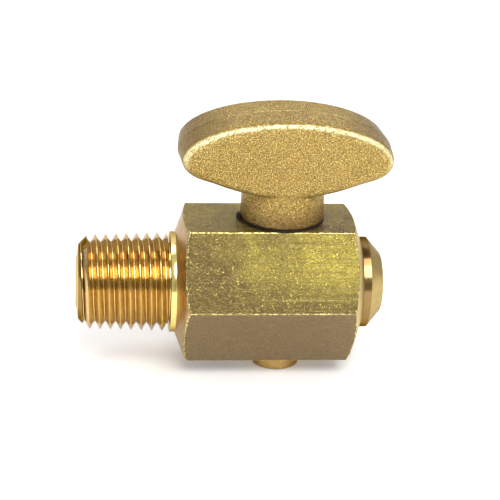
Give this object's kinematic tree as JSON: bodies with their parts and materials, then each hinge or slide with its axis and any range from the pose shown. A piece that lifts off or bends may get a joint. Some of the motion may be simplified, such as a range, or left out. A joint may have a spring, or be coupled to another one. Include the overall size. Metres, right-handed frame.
{
  "type": "plug valve",
  "caption": "Small brass quarter-turn plug valve: hexagonal bar body, male taper-thread inlet, chamfered outlet nose and an oval cast tee handle.",
  "frame": {"origin": "centre of the threaded inlet's end face, on the flow axis", "axes": "+X along the flow from the threaded inlet to the outlet nose, +Z from the flow axis up the plug to the handle, +Y to the left of the flow"},
  "size_m": [0.0426, 0.022, 0.037],
  "materials": {
    "bar_brass": "drawn bar, dull flats with fine scratches, brighter turned ends",
    "cast_brass": "sand cast, fine glittering grain",
    "turned_brass": "turned",
    "spring_steel": "drawn wire",
    "black_rubber": "glossy moulded rubber"
  },
  "bodies": {
    "body": {"valve_body": "bar_brass", "thrust_washer": "turned_brass", "stem_seal_ring": "black_rubber"},
    "key": {"plug": "turned_brass", "tee_handle": "cast_brass", "keyed_washer": "turned_brass", "plug_spring": "spring_steel", "retaining_screw": "turned_brass"}
  },
  "joints": [
    {"name": "plug_turn", "type": "hinge", "parent": "body", "child": "key", "pos_m": [0.028, 0, 0], "axis": [0, 0, 1], "continuous": true}
  ]
}
